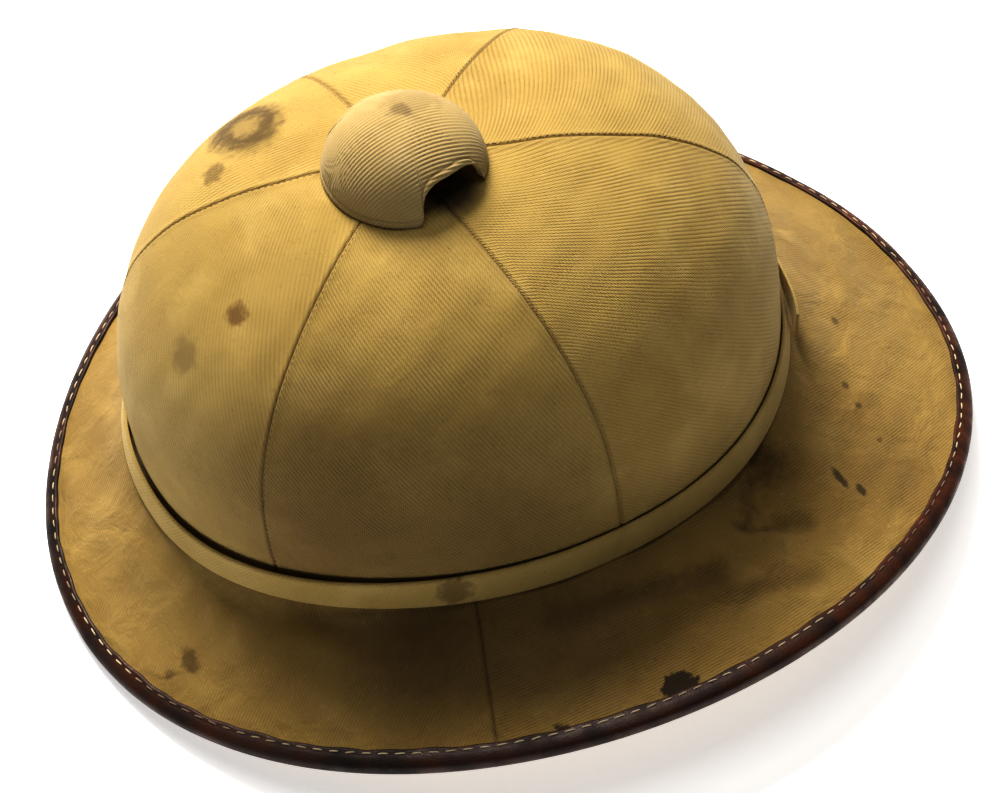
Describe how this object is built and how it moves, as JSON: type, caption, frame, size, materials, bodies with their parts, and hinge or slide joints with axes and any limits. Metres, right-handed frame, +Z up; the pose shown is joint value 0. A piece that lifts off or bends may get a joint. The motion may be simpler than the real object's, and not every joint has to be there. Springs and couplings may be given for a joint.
{
  "type": "pith helmet",
  "caption": "Cloth-covered pith helmet with a domed crown of gores, a ventilator cap, a folded hat band and a wide drooping brim bound in leather.",
  "frame": {"origin": "middle of the bounding box in plan, on the surface that the brim rests on", "axes": "+Z up, front of the helmet towards -Y, the wearer's left side towards +X"},
  "size_m": [0.3031, 0.3494, 0.1681],
  "materials": {
    "pith": "raw moulded pith, matt",
    "crown_cloth": "worn khaki cotton twill",
    "brim_cloth": "worn khaki cotton twill",
    "band_cloth": "folded khaki cotton twill",
    "cap_cloth": "stretched khaki cotton twill, paler",
    "binding_leather": "brown-black leather, worn red-brown, semi-matt",
    "collar_wood": "plain turned, matt"
  },
  "bodies": {
    "root": {"shell": "pith", "gore_rear_left": "crown_cloth", "gore_front_left": "crown_cloth", "gore_front": "crown_cloth", "gore_front_right": "crown_cloth", "gore_rear_right": "crown_cloth", "gore_rear": "crown_cloth", "brim_cover_front": "brim_cloth", "brim_cover_rear": "brim_cloth", "hat_band": "band_cloth", "brim_binding": "binding_leather", "vent_cap": "cap_cloth", "vent_collar": "collar_wood"}
  },
  "joints": []
}
